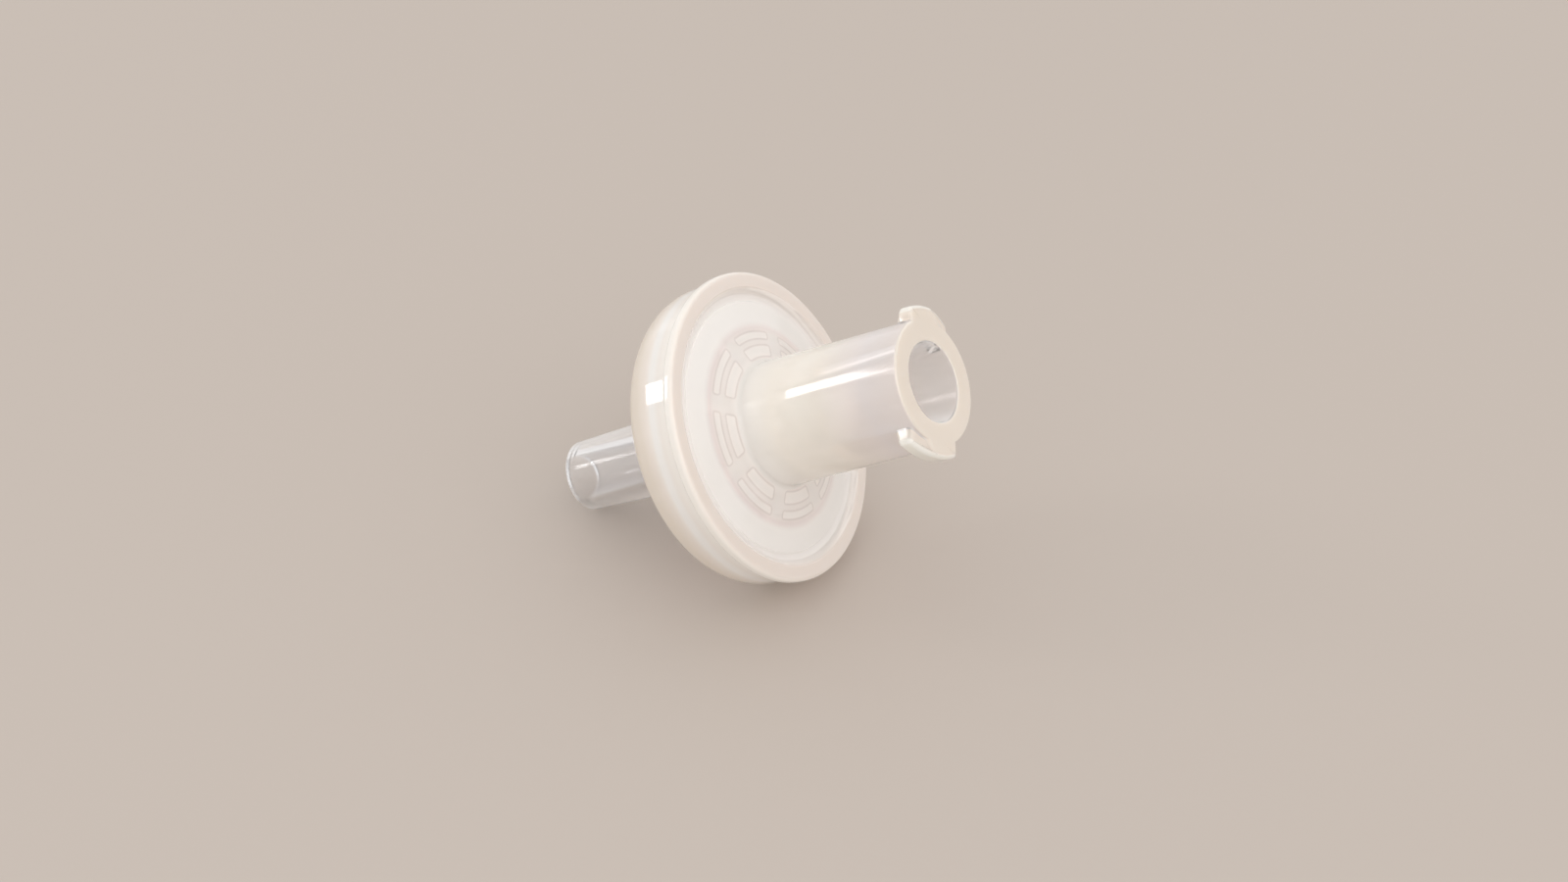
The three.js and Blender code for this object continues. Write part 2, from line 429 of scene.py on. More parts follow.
@dataclass(frozen=True)
class Chamber:
    """The flow chamber, the roof over it and the joint round it, in mm.

    Args:
        radius: Wall of the chamber over and under the membrane.
        spigot: Outside of the spigot that presses on the membrane's edge, where the roof's cone starts.
        cup: Inside of the cup that takes the spigot.
        clamp_z: Face that clamps the membrane.
        clamp_gap: Room left between that face and the membrane.
        seat_z: Face that the membrane lies on.
        crease_z: Outside of the roof at its foot.
        roof_rise: How far the roof rises to the hub.
        hub_radius: Outside of the hub, where the roof's cone ends.
        sectors: Rib groups round the axis, and drains under them.
        first: Angle of the first channel.
        rib_bands: Each rib of a group, as (room to the chamber's wall, width).
        rib_channel: Width of the channels between the groups.
        rib_round: Radius of the ribs' corners where they meet the roof.
    """

    radius: float = 5.4
    spigot: float = 6.95
    cup: float = 6.98
    clamp_z: float = -1.25
    clamp_gap: float = 0.02
    seat_z: float = -1.44
    crease_z: float = -0.3
    roof_rise: float = 0.75
    hub_radius: float = 3.44
    sectors: int = 8
    first: float = math.radians(-48)
    rib_bands: tuple[Point, ...] = ((0.2, 0.46), (1.0, 0.68))
    rib_channel: float = 0.95
    rib_round: float = 0.16

    @property
    def sector(self) -> float:
        """Angle of one rib group."""
        return math.tau / self.sectors

    def roof_z(self, radius: float) -> float:
        """Height of the conical roof's outside at a radius."""
        slope = self.roof_rise / (self.spigot - self.hub_radius)
        return self.crease_z + slope * (self.spigot - radius)

    def shuts_in(self, radius: float, height: float) -> bool:
        """Tells whether a place is between the roof's outside and the floor under the membrane's grid.

        Args:
            radius: Its distance from the axis.
            height: Its height along the axis.

        Returns:
            True for a place inside the filter.
        """
        skin, joint, floor_depth = 0.22, 0.05, 0.61
        return radius < self.cup + joint and self.seat_z - floor_depth < height < self.roof_z(radius) - skin


# ---- inlet housing ----

@dataclass
class InletHousing:
    """Rim, conical roof, ribs, hub with its Luer socket and the two lugs, moulded as one; sizes in mm."""

    chamber: Chamber = field(default_factory=Chamber)
    rim_radius: float = 8.56
    rim_thickness: float = 0.62
    rim_corner: float = 0.25
    rim_face: float = 0.8
    roof_wall: float = 0.75
    hub_draft: float = 0.004
    hub_length: float = 10.65
    hub_edge: float = 0.12
    hub_blend: float = 0.32
    mouth_radius: float = 2.155
    mouth_lead: float = 0.15
    taper: float = 0.03
    socket_floor: float = 1.35
    port_radius: float = 0.95
    lug_height: float = 0.68
    lug_half_width: float = 1.85
    lug_thin_end: float = 1.0
    thread_lead: float = 5.0
    lug_lead_share: float = 0.42
    lug_sweep: float = 0.72
    lug_corner: float = 0.3
    lug_edge: float = 0.2
    rib_clearance: float = 0.12
    rib_sink: float = 0.15
    rib_edge: float = 0.14

    @property
    def hub_radius(self) -> float:
        """Outside of the hub at its foot."""
        return self.chamber.hub_radius

    @property
    def lug_fall(self) -> float:
        """How far a lug's back falls for each radian it turns."""
        return self.lug_lead_share * self.thread_lead / math.tau

    def ceiling_z(self, radius: float) -> float:
        """Height of the roof's inside at a radius."""
        return self.chamber.roof_z(radius) - self.roof_wall

    def chamber_profile(self) -> list[Point]:
        """Draws the ceiling of the chamber, its wall, the clamp face and the spigot.

        Returns:
            That stretch of the outline.
        """
        chamber, lead = self.chamber, 0.1
        return [
            (self.port_radius, self.ceiling_z(self.hub_radius)),
            (self.hub_radius, self.ceiling_z(self.hub_radius)),
            (chamber.radius, self.ceiling_z(chamber.radius)),
            (chamber.radius, chamber.clamp_z),
            (chamber.spigot - lead, chamber.clamp_z),
            (chamber.spigot, chamber.clamp_z + lead),
            (chamber.spigot, -self.rim_thickness),
        ]

    def rim_profile(self) -> list[Point]:
        """Draws the rim with rounded edges, its flat face, and the hollow wall down to the crease.

        Returns:
            That stretch of the outline.
        """
        rear, dip = 0.2, 0.08
        inner = self.rim_radius - self.rim_face
        hollow, depth = inner - self.chamber.spigot, dip - self.chamber.crease_z
        wall = [(0, 0), (0.06, 0.015), (0.11, 0.05), (0.16, 0.12), (0.21, 0.22), (0.27, 0.37), (0.33, 0.52),
                (0.41, 0.68), (0.49, 0.79), (0.59, 0.885), (0.69, 0.95), (0.78, 0.985), (0.87, 1), (0.96, 0.95)]
        centre = (self.rim_radius - self.rim_corner, -self.rim_corner)
        return [
            *arc((self.rim_radius - rear, rear - self.rim_thickness), rear, 270, 360, 6),
            *arc(centre, self.rim_corner, 0, 90, 8),
            *[(inner - across * hollow, -down * depth) for across, down in wall],
        ]

    def hub_profile(self) -> list[Point]:
        """Draws the roof, the blend at the hub's foot, and the hub up to its end face.

        Returns:
            That stretch of the outline.
        """
        chamber, foot = self.chamber, self.chamber.roof_z(self.hub_radius)
        face = self.hub_radius - self.hub_draft * (self.hub_length - foot)
        blend, on_cone = self.hub_radius + self.hub_blend, 258
        return [
            (chamber.spigot, chamber.crease_z),
            (chamber.radius, chamber.roof_z(chamber.radius)),
            *arc((blend, chamber.roof_z(blend) + self.hub_blend), self.hub_blend, on_cone, 180, 8),
            *arc((face - self.hub_edge, self.hub_length - self.hub_edge), self.hub_edge, 0, 90, 5),
        ]

    def socket_profile(self) -> list[Point]:
        """Draws the Luer socket from its rounded mouth down to the port over the membrane.

        Returns:
            That stretch of the outline.
        """
        floor_z = self.ceiling_z(self.hub_radius) + self.socket_floor
        floor = self.mouth_radius - self.taper * (self.hub_length - floor_z)
        mouth = (self.mouth_radius + self.mouth_lead, self.hub_length - self.mouth_lead)
        chamfer, edge, funnel, funnel_depth = 0.1, 0.12, 0.25, 0.35
        return [
            *arc(mouth, self.mouth_lead, 90, 180, 4),
            (floor, floor_z + edge),
            (floor - chamfer, floor_z),
            (self.port_radius + funnel, floor_z - edge),
            (self.port_radius, floor_z - funnel_depth),
        ]

    def lug(self) -> Object:
        """Models one lug: swept with the thread's lead, cut level with the hub's end and square at its sides.

        Returns:
            The lug, in the middle round +X.
        """
        sunk, spare, root_drop, tip_rise = 0.5, 2.0, 0.13, 0.19
        root, tip = self.hub_radius - sunk, self.hub_radius + self.lug_height
        top, end = self.hub_length, math.asin(self.lug_half_width / tip)
        back = top - self.lug_thin_end - self.lug_fall * (end + self.lug_sweep)
        outline = [(root, back - root_drop), (tip, back + tip_rise), (tip, top + spare), (root, top + spare)]
        piece = swept("lug", outline, self.lug_sweep, 20, self.lug_fall)
        cut_by_plane(Vector((0, 0, top)), Vector((0, 0, 1)))
        for side in (-1, 1):
            cut_by_plane(Vector((0, side * self.lug_half_width, 0)), Vector((0, side, 0)))
        slope_place, slope_normal = Vector((self.hub_radius + 0.12, -0.3, top)), Vector((0.14, -0.2, 0.9))
        cut_by_plane(slope_place, slope_normal)
        end_edit()
        bpy.ops.object.mode_set(mode="EDIT")
        near_tip, near_side = tip - 0.03, self.lug_half_width - 0.02
        select_edges(piece, lambda a, b: all(
            math.hypot(p.x, p.y) > near_tip and abs(p.y) > near_side for p in (a, b)))
        bpy.ops.mesh.bevel(offset=self.lug_corner, segments=6, affect="EDGES")
        end_edit()
        return piece

    def rib(self, inset: float, width: float) -> Object:
        """Models one rib of a band, swept round the axis and cut square to the channels at its ends.

        Args:
            inset: Room between the chamber's wall and the rib.
            width: Its width across the flow.

        Returns:
            The rib, in the middle of the sector round +X.
        """
        chamber = self.chamber
        outer = chamber.radius - inset
        inner, half = outer - width, chamber.sector / 2
        bottom = chamber.clamp_z - chamber.clamp_gap + self.rib_clearance
        top = self.ceiling_z(outer) + self.rib_sink
        outline = [(inner, bottom), (outer, bottom), (outer, top), (inner, top)]
        piece = swept("rib", outline, half, 12)
        for side in (-1, 1):
            square = Vector((-math.sin(half), side * math.cos(half), 0))
            cut_by_plane(-square * chamber.rib_channel / 2, square)
        end_edit()
        use_modifier(piece, "BEVEL", {"width": self.rib_edge, "segments": 3, "limit_method": "ANGLE"})
        return piece

    def build(self, lie: Lie, *finishes: Material) -> Object:
        """Models the housing, dresses it and lays it down.

        Args:
            lie: Where the filter lies.
            finishes: Material of its outside, and of the faces shut in between roof and base.

        Returns:
            The finished housing.
        """
        chamber = self.chamber
        outline = self.chamber_profile() + self.rim_profile() + self.hub_profile() + self.socket_profile()
        piece = turned("inlet_moulding", outline)
        lug = self.lug()
        use_modifier(lug, "BEVEL", {
            "width": self.lug_edge, "segments": 4, "limit_method": "ANGLE", "use_clamp_overlap": False})
        combine(piece, turned_copies(lug, [chamber.first, chamber.first + math.pi]), Cut.JOIN)
        for inset, width in chamber.rib_bands:
            angles = [chamber.first + (i + 0.5) * chamber.sector for i in range(chamber.sectors)]
            combine(piece, turned_copies(self.rib(inset, width), angles), Cut.JOIN)
        lay_down(piece, lie, "inlet_housing")
        dress(piece, *finishes)
        line(piece, lie, chamber.shuts_in)
        return piece


# ---- membrane ----

@dataclass
class Membrane:
    """Thin disc clamped by its edge; sizes in mm."""

    radius: float = 6.5
    thickness: float = 0.15
    top_z: float = -1.27
    edge: float = 0.03

    @property
    def middle_z(self) -> float:
        """Height of its middle on the filter's axis."""
        return self.top_z - self.thickness / 2

    def build(self, lie: Lie, finish: Material) -> Object:
        """Models the membrane, dresses it and lays it down.

        Args:
            lie: Where the filter lies.
            finish: Its material.

        Returns:
            The finished membrane.
        """
        bpy.ops.mesh.primitive_cylinder_add(
            vertices=TURN_STEPS, radius=self.radius, depth=self.thickness, location=(0, 0, self.middle_z))
        piece = bpy.context.object
        piece.name = piece.data.name = "membrane_disc"
        bpy.ops.object.transform_apply(location=True)
        bpy.ops.object.mode_set(mode="EDIT")
        bpy.ops.mesh.select_all(action="SELECT")
        bpy.ops.mesh.bevel(offset=self.edge, segments=2, affect="EDGES")
        end_edit()
        lay_down(piece, lie, "membrane")
        dress(piece, finish)
        return piece


# ---- outlet housing ----

@dataclass
class OutletHousing:
    """Rounded base with its cup, drained floor and cored back, and the male Luer tip, moulded as one; in mm."""

    chamber: Chamber = field(default_factory=Chamber)
    radius: float = 8.27
    height: float = 3.84
    round: float = 1.5
    rise: float = 1.94
    foot: float = 0.95
    core_depth: float = 0.85
    core_wall: float = 0.6
    top_z: float = -0.65
    tip_length: float = 9.42
    tip_end: float = 1.975
    tip_edge: float = 0.12
    tip_boss: float = 0.35
    taper: float = 0.03
    ring_count: int = 5
    ring_width: float = 0.42
    ring_inner: float = 0.95
    groove: float = 0.4
    drain: float = 0.6
    bore_end: float = 1.22
    bore_edge: float = 0.06
    bore_top: float = 1.0
    throat: float = 0.6
    floor: float = 0.5

    @property
    def back_z(self) -> float:
        """Height of the back face."""
        return -self.height

    @property
    def end_z(self) -> float:
        """Height of the tip's end."""
        return self.back_z - self.tip_length

    def tip_radius(self, from_end: float) -> float:
        """Radius of the Luer taper at a distance from its end."""
        return self.tip_end + self.taper * from_end

    def tip_profile(self) -> list[Point]:
        """Draws the Luer tip from its bore at the end to the boss on the back.

        Returns:
            That stretch of the outline.
        """
        root, blend = self.tip_radius(self.tip_length), 0.3
        curve = ((0.1, 0.6), (0.4, 0.22))
        edge = (self.tip_end - self.tip_edge, self.end_z + self.tip_edge)
        bore = (self.bore_end + self.bore_edge, self.end_z + self.bore_edge)
        return [
            *arc(bore, self.bore_edge, 180, 270, 3),
            *arc(edge, self.tip_edge, 270, 360, 5),
            (self.tip_radius(self.tip_length - blend), self.back_z - blend),
            *[(root + blend * out, self.back_z - blend * down) for out, down in curve],
            (root + self.tip_boss, self.back_z),
        ]

    def cup_profile(self) -> list[Point]:
        """Draws the cored back, the foot round it, the rounded side and the cup for the spigot.

        Returns:
            That stretch of the outline.
        """
        inner = self.tip_radius(self.tip_length) + self.tip_boss + self.core_wall
        outer = self.radius - self.round - self.foot
        core_z, chamfer, lip, draft, fullness = self.back_z + self.core_depth, 0.06, 0.16, 0.1, 2.25
        return [
            (inner, self.back_z), (inner + draft, core_z), (outer - draft, core_z), (outer, self.back_z),
            *shoulder((self.radius - self.round, self.back_z + self.rise), (self.round, self.rise), fullness, 22),
            *arc((self.radius - lip, self.top_z - lip), lip, 0, 90, 5),
            (self.chamber.cup + chamfer, self.top_z), (self.chamber.cup, self.top_z - chamfer),
            (self.chamber.cup, self.chamber.seat_z),
        ]

    def grid_profile(self) -> list[Point]:
        """Draws the rings that hold the membrane up, and the grooves between them.

        Returns:
            That stretch of the outline.
        """
        seat, radius, draft = self.chamber.seat_z, self.chamber.radius, 0.04
        pitch, floor = (radius - self.ring_inner) / self.ring_count, seat - self.groove
        outline = [(radius, seat), (radius - draft, floor)]
        for i in reversed(range(self.ring_count)):
            inside = self.ring_inner + i * pitch
            outside = inside + self.ring_width
            outline += [(outside + draft, floor), (outside, seat), (inside, seat), (inside - draft, floor)]
        return outline

    def bore_profile(self) -> list[Point]:
        """Draws the throat in the floor, and the cone from it to the top of the tip's bore.

        Returns:
            That stretch of the outline.
        """
        top, cone, lead = self.back_z + self.floor, 0.35, 0.08
        return [
            (self.throat, self.chamber.seat_z - self.groove - lead),
            (self.throat, top + cone),
            (self.bore_top, top),
        ]

    def drains(self) -> Object:
        """Models the bars that cut the radial drains across the rings, in line with the channels above.

        Returns:
            The bars, as one object.
        """
        chamber, land, spare = self.chamber, 0.15, 1
        near, far = self.throat / 2, chamber.radius - land
        bpy.ops.mesh.primitive_cube_add(size=1)
        bar = bpy.context.object
        bar.name = "drain"
        deep = self.groove + spare
        place = Vector(((near + far) / 2, 0, chamber.seat_z - self.groove + deep / 2))
        bar.data.transform(Matrix.Translation(place) @ Matrix.Diagonal((far - near, self.drain, deep, 1)))
        return turned_copies(bar, [chamber.first + i * chamber.sector for i in range(chamber.sectors)])

    def build(self, lie: Lie, *finishes: Material) -> Object:
        """Models the housing, dresses it and lays it down.

        Args:
            lie: Where the filter lies.
            finishes: Material of its outside, and of the faces shut in between roof and base.

        Returns:
            The finished housing.
        """
        outline = self.tip_profile() + self.cup_profile() + self.grid_profile() + self.bore_profile()
        piece = turned("outlet_moulding", outline)
        combine(piece, self.drains(), Cut.REMOVE)
        lay_down(piece, lie, "outlet_housing")
        dress(piece, *finishes)
        line(piece, lie, self.chamber.shuts_in)
        return piece


# ---- finishes ----

class Zone(Enum):
    """Parts of the mouldings that look different, by radius and by height in mm.

    Each edge is (where the part's share is 0, where it is 1), and the share fades between the two.
    """

    HUB_FACE = ((), ((10.50, 10.62),))
    LUG_SHELF = (((3.7, 4.1),), ())
    LUGS = (((3.46, 3.5),), ((8.0, 8.4),))
    LUG_CROWN = (((3.82, 3.94),), ((8.0, 8.4),))
    SOCKET = (((2.22, 2.17),), ((1.5, 4.0),))
    THIN_ROOF = (((5.45, 5.38),), ((-0.02, 0.03), (0.5, 0.44)))
    RIB_EDGE_SHADE = (((5.35, 5.3),), ((-1.145, -1.12), (-0.9, -0.98)))
    RECESS = (((7.0, 7.1), (7.74, 7.66)), ((-0.34, -0.28),))
    BEYOND_HUB = (((5.0, 6.0),), ())
    RIM_FACE = (((7.6, 7.76),), ((-0.06, -0.005),))
    SIDE = (((7.2, 8.0),), ())
    TIP = ((), ((-3.9, -4.4),))


@dataclass(frozen=True)
class Spot:
    """The point that a material shades.

    Args:
        tree: The material's nodes.
        place: Its place in the drawing's millimetres.
        height: Its height along the axis.
        radius: Its distance from the axis.
        found: Its share in each zone, once found.
    """

    tree: NodeTree
    place: Node
    height: NodeSocket
    radius: Node
    found: dict[Zone, Node] = field(default_factory=dict)

    @classmethod
    def in_material(cls, tree: NodeTree, lie: Lie) -> "Spot":
        """Takes the point's place back from the frame to the drawing.

        Args:
            tree: The material's nodes.
            lie: Where the filter lies.

        Returns:
            The point.
        """
        place = add_node(tree, "ShaderNodeMapping", {"vector_type": "TEXTURE"}, {
            "Vector": add_node(tree, "ShaderNodeTexCoord").outputs["Object"],
            "Location": lie.rim_front, "Rotation": (0, lie.lean, 0), "Scale": (MM, MM, MM)})
        parts = add_node(tree, "ShaderNodeSeparateXYZ", None, {"Vector": place}).outputs
        across = add_node(tree, "ShaderNodeCombineXYZ", None, {"X": parts["X"], "Y": parts["Y"]})
        radius = add_node(tree, "ShaderNodeVectorMath", {"operation": "LENGTH"}, {0: across})
        return cls(tree, place, parts["Z"], radius)

    def share(self, zone: Zone) -> Node:
        """Finds how far the point lies in a part of the moulding.

        Args:
            zone: The part.

        Returns:
            A share from 0 to 1.
        """
        if zone not in self.found:
            fades = [add_node(self.tree, "ShaderNodeMapRange", FADE, {
                "Value": value, "From Min": start, "From Max": end})
                for value, edges in zip((self.radius, self.height), zone.value) for start, end in edges]
            self.found[zone] = reduce(
                lambda one, other: add_node(self.tree, "ShaderNodeMath", PRODUCT, {0: one, 1: other}), fades)
        return self.found[zone]


@dataclass(frozen=True)
class Polypropylene:
    """Natural polypropylene, injection moulded: milky and see-through at once, with a soft wax-like gloss.

    Colours are sRGB hex, sizes and heights along the axis are in mm, and the rest are shares.

    Args:
        lie: Where the filter lies, which places the thick and thin walls.
        chamber: Sizes of the chamber and its ribs.
        wall_and_edge_shade_along, side_light_and_shade_along: Colours of the walls and of the disc's side,
        by height, with a painted shade ring on the roof over the chamber's edge, and painted light and shade
        on the side.
        clear_along: Share of the light that passes unscattered, by height.
        cream, rim_cream: Colours of the hub's end face and the rim's face, where one looks along a wall.
        lug_tint, lug_rim: Colours of the lugs and of their outside.
        glass: Colour of the clear tip and socket, and of the faces shut in.
        rib_outline_shade, rib_shade: Colours of the painted shade along the ribs' outlines on the roof,
        and of the painted shade on their lower edges.
        rib_outline_shade_share: How strongly the painted shade along the outlines shows.
        line_edge, pad_edge: Where the outlines, and the milky pads inside them, start and are full.
        rib_milk, lug_milk, side_milk: How milky the roof over the ribs, the lugs and the disc's side are.
        crown_cream, shelf_cream: Share of the cream that stays on the lugs' outer edge and end faces.
        milk_clear: Share of their clearness that the milkiest places keep.
        socket_clear, recess_clear: How clear the socket and the recess inside the rim are.
        grazing, grazing_clear: Where a wall seen at a slant turns milky, and the clearness that is left.
        lamp_share, lamp_loss: How much of the lamps' light the walls let in, and what is left of its colours.
        scatter: How far light scatters in the milky body.
        haze, uneven: Roughness of the skin, and its least and most for each part of that.
        ior, inner_ior: Index of refraction; lower for the faces shut in, so that the ribs stay readable.
        clouds_per_mm, grains_per_mm, grain_depth: The gloss's clouds, and the skin's faint waviness.
    """

    lie: Lie
    chamber: Chamber = field(default_factory=Chamber)
    # painted shade: the darker stop at 0.025 mm rings the roof over the chamber's edge
    wall_and_edge_shade_along: tuple[tuple[float, str], ...] = (
        (-4.0, "#FFF6F3"), (0.0, "#FFF5F2"), (0.025, "#F3EAE8"), (0.06, "#FCF4F0"), (0.33, "#FCF4F0"),
        (0.9, "#FFF6F1"), (2.5, "#FFF3EB"), (5.5, "#FFF3EB"), (8.5, "#F3F0F1"), (10.5, "#F6F0EE"))
    # painted shade darkens the back rounding, -3.8 to -2.6 mm; a painted band of light runs from -1.7 to -1.45 mm
    side_light_and_shade_along: tuple[tuple[float, str], ...] = (
        (-3.8, "#EDE6DB"), (-2.6, "#EDE6DC"), (-1.9, "#F5EEE8"), (-1.7, "#FFF8F4"), (-1.45, "#FFF7F3"),
        (-1.2, "#FBF1EC"), (-0.9, "#FDF4EF"), (-0.3, "#FDF4EF"), (0.0, "#F8EFE8"))
    clear_along: tuple[Point, ...] = (
        (-13.3, 0.86), (-5.0, 0.8), (-3.8, 0.35), (-2.1, 0.25), (-1.8, 0.1), (-0.3, 0.06), (0.01, 0.06),
        (0.035, 0.27), (0.33, 0.27), (0.4, 0.12), (0.9, 0.1), (3.0, 0.12), (6.0, 0.32), (10.4, 0.5))
    cream: str = "#F0E8DE"
    rim_cream: str = "#ECE5DF"
    lug_tint: str = "#FCEDE3"
    lug_rim: str = "#FFF5EE"
    glass: str = "#FBFCFE"
    # painted shade: a darker line along each rib's outline, drawn on the roof's outside
    rib_outline_shade: str = "#C4BFBC"
    rib_outline_shade_share: float = 0.34
    line_edge: Point = (0.085, 0.02)
    pad_edge: Point = (-0.02, -0.1)
    rib_shade: str = "#B9B2BC"
    rib_milk: float = 0.5
    lug_milk: float = 0.55
    side_milk: float = 0.65
    crown_cream: float = 0.3
    shelf_cream: float = 0.55
    milk_clear: float = 0.1
    socket_clear: float = 0.75
    recess_clear: float = 0.3
    grazing: Point = (0.3, 0.85)
    grazing_clear: float = 0.2
    lamp_share: float = 0.86
    scatter: float = 0.35
    haze: float = 0.045
    uneven: Point = (0.75, 1.4)
    ior: float = 1.49
    inner_ior: float = 1.2
    clouds_per_mm: float = 0.35
    grains_per_mm: float = 3.0
    grain_depth: float = 0.02
    lamp_loss: tuple[float, float, float, float] = (0.98, 0.975, 0.97, 1)

    def clearness(self, spot: Spot) -> Node:
        """Finds the share of light that passes unscattered, by height along the axis.

        Args:
            spot: The point.

        Returns:
            The share.
        """
        low, high = self.clear_along[0][0], self.clear_along[-1][0]
        ramp = add_node(spot.tree, "ShaderNodeMapRange", None, {
            "Value": spot.height, "From Min": low, "From Max": high})
        curve = add_node(spot.tree, "ShaderNodeFloatCurve", None, {"Value": ramp})
        points = curve.mapping.curves[0].points
        places = [((z - low) / (high - low), share) for z, share in self.clear_along]
        points[0].location, points[-1].location = places[0], places[-1]
        for place in places[1:-1]:
            points.new(*place)
        curve.mapping.update()
        return curve

    def bands(self, spot: Spot, along: tuple[tuple[float, str], ...]) -> Node:
        """Colours a wall by its height along the axis.

        Args:
            spot: The point.
            along: Colours at heights, as (mm, sRGB hex).

        Returns:
            The colour.
        """
        low, high = along[0][0], along[-1][0]
        ramp = add_node(spot.tree, "ShaderNodeMapRange", None, {
            "Value": spot.height, "From Min": low, "From Max": high})
        colours = add_node(spot.tree, "ShaderNodeValToRGB", None, {"Fac": ramp})
        stops = colours.color_ramp.elements
        while len(stops) < len(along):
            stops.new(1.0)
        for stop, (z, code) in zip(stops, along):
            stop.position, stop.color = (z - low) / (high - low), srgb(code)
        return colours

    def end_faces(self, spot: Spot) -> Node:
        """Finds the flat faces at the hub's end and on the rim.

        Args:
            spot: The point.

        Returns:
            1 on them, less on the lugs, and 0 elsewhere.
        """
        tree = spot.tree
        kept = add_node(tree, "ShaderNodeMapRange", None, {
            "Value": spot.share(Zone.LUG_SHELF), "To Min": 1.0, "To Max": self.shelf_cream})
        hub = add_node(tree, "ShaderNodeMath", PRODUCT, {0: spot.share(Zone.HUB_FACE), 1: kept})
        return add_node(tree, "ShaderNodeMath", LARGEST, {0: hub, 1: spot.share(Zone.RIM_FACE)})

    def rib_marks(self, spot: Spot) -> list[Node]:
        """Finds the ribs' outlines on the roof, which take painted shade,
        and the pads inside them, where the wall is thicker and milkier.

        Args:
            spot: The point.

        Returns:
            1 along the ribs' outlines, and 1 inside them; 0 elsewhere.
        """
        tree, chamber, half, corner = spot.tree, self.chamber, self.chamber.sector / 2, self.chamber.rib_round
        parts = add_node(tree, "ShaderNodeSeparateXYZ", None, {"Vector": spot.place}).outputs
        past_end, gap = parts["Y"], chamber.radius
        for operation, *others in (
                ("ARCTAN2", parts["X"]), ("SUBTRACT", chamber.first), ("WRAP", half, -half), ("SINE",),
                ("MULTIPLY", spot.radius), ("ABSOLUTE",), ("MULTIPLY", -1.0),
                ("ADD", chamber.rib_channel / 2 + corner), ("MAXIMUM", 0.0)):
            past_end = add_node(
                tree, "ShaderNodeMath", {"operation": operation}, dict(enumerate((past_end, *others))))
        for inset, width in chamber.rib_bands:
            past_side = spot.radius
            for operation, *others in (
                    ("SUBTRACT", chamber.radius - inset - width / 2), ("ABSOLUTE",),
                    ("SUBTRACT", width / 2 - corner), ("MAXIMUM", 0.0)):
                past_side = add_node(
                    tree, "ShaderNodeMath", {"operation": operation}, dict(enumerate((past_side, *others))))
            away = add_node(tree, "ShaderNodeCombineXYZ", None, {"X": past_side, "Y": past_end})
            length = add_node(tree, "ShaderNodeVectorMath", {"operation": "LENGTH"}, {0: away})
            from_rib = add_node(tree, "ShaderNodeMath", {"operation": "SUBTRACT"}, {0: length, 1: corner})
            gap = add_node(tree, "ShaderNodeMath", {"operation": "MINIMUM"}, {0: gap, 1: from_rib})
        from_line = add_node(tree, "ShaderNodeMath", {"operation": "ABSOLUTE"}, {0: gap})
        return [add_node(tree, "ShaderNodeMapRange", FADE, {"Value": value, "From Min": start, "From Max": end})
                for value, (start, end) in ((from_line, self.line_edge), (gap, self.pad_edge))]

    def surface(self, spot: Spot) -> dict[str, Node]:
        """Gives the gloss of the moulded skin.

        Args:
            spot: The point.

        Returns:
            Its roughness and its bumped normal, for the shader.
        """
        cloud = add_node(spot.tree, "ShaderNodeTexNoise", None, {
            "Vector": spot.place, "Scale": self.clouds_per_mm, "Detail": 3.0, "Roughness": 0.55})
        skin = add_node(spot.tree, "ShaderNodeTexNoise", None, {
            "Vector": spot.place, "Scale": self.grains_per_mm, "Detail": 2.0})
        rough = add_node(spot.tree, "ShaderNodeMapRange", None, {
            "Value": cloud, "From Min": 0.3, "From Max": 0.7,
            "To Min": self.haze * self.uneven[0], "To Max": self.haze * self.uneven[1]})
        bump = add_node(spot.tree, "ShaderNodeBump", None, {
            "Strength": 0.05, "Distance": self.grain_depth * MM, "Height": skin})
        return {"Roughness": rough, "Normal": bump}

    def let_light_in(self, tree: NodeTree, shader: Node, share: Number) -> None:
        """Lets a share of the lamps' light straight through the wall, and closes the material.

        Args:
            tree: The material's nodes.
            shader: The plastic's own shader.
            share: The share that passes.
        """
        lamp_ray = add_node(tree, "ShaderNodeLightPath").outputs["Is Shadow Ray"]
        passing = add_node(tree, "ShaderNodeMath", PRODUCT, {0: lamp_ray, 1: share})
        clear = add_node(tree, "ShaderNodeBsdfTransparent", None, {"Color": self.lamp_loss})
        mix = add_node(tree, "ShaderNodeMixShader", None, {0: passing, 1: shader, 2: clear})
        add_node(tree, "ShaderNodeOutputMaterial", None, {"Surface": mix})

    def lining(self) -> Material:
        """Builds the finish of the faces shut in between the roof and the base.

        Returns:
            The material: clear, so that only the ribs' lower edges show, by their painted shade.
        """
        made = blank_material("natural_polypropylene_inside")
        tree = made.node_tree
        spot = Spot.in_material(tree, self.lie)
        # painted shade on the ribs' lower edges
        colour = add_node(tree, "ShaderNodeMix", COLOURS, {
            0: spot.share(Zone.RIB_EDGE_SHADE), 6: srgb(self.glass), 7: srgb(self.rib_shade)})
        shader = add_node(tree, "ShaderNodeBsdfPrincipled", None, {
            "Base Color": colour, "IOR": self.inner_ior, "Transmission Weight": 1.0, **self.surface(spot)})
        self.let_light_in(tree, shader, 1.0)
        return made

